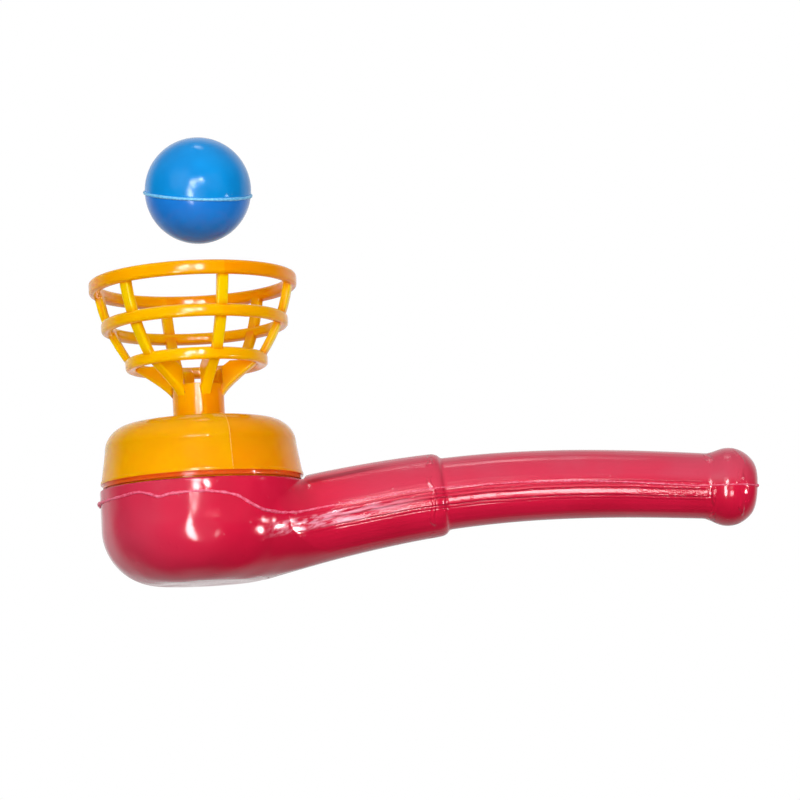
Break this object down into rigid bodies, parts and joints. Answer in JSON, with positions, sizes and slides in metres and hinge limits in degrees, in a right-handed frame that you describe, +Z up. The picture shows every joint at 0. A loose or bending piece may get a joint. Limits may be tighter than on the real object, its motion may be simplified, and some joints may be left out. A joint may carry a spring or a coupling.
{
  "type": "blow ball pipe toy",
  "caption": "Toy pipe that is blown through its stem so that a light hollow ball floats on the air above an open basket cap pushed into the bowl.",
  "frame": {"origin": "centre of the flat base under the bowl", "axes": "+Z up along the bowl's axis, through the cap, neck and basket; +X along the stem towards the mouthpiece"},
  "size_m": [0.1527, 0.0486, 0.1048],
  "materials": {
    "pipe_plastic": "glossy crimson blow-moulded plastic with fine lengthwise die lines",
    "cap_plastic": "glossy amber injection-moulded plastic, slightly translucent at the edges",
    "ball_plastic": "smooth blue plastic with a pale proud seam"
  },
  "bodies": {
    "pipe": {"pipe_body": "pipe_plastic"},
    "basket_cap": {"basket_cap": "cap_plastic"},
    "ball": {"ball_upper_shell": "ball_plastic", "ball_lower_shell": "ball_plastic"}
  },
  "joints": [
    {"name": "cap_pull", "type": "slide", "parent": "pipe", "child": "basket_cap", "axis": [0, 0, 1], "range_m": [0, 0.008]},
    {"name": "ball_slide", "type": "slide", "parent": "basket_cap", "child": "ball", "axis": [0.0741, 0, 0.9972], "range_m": [-0.03103, 0.04]}
  ]
}
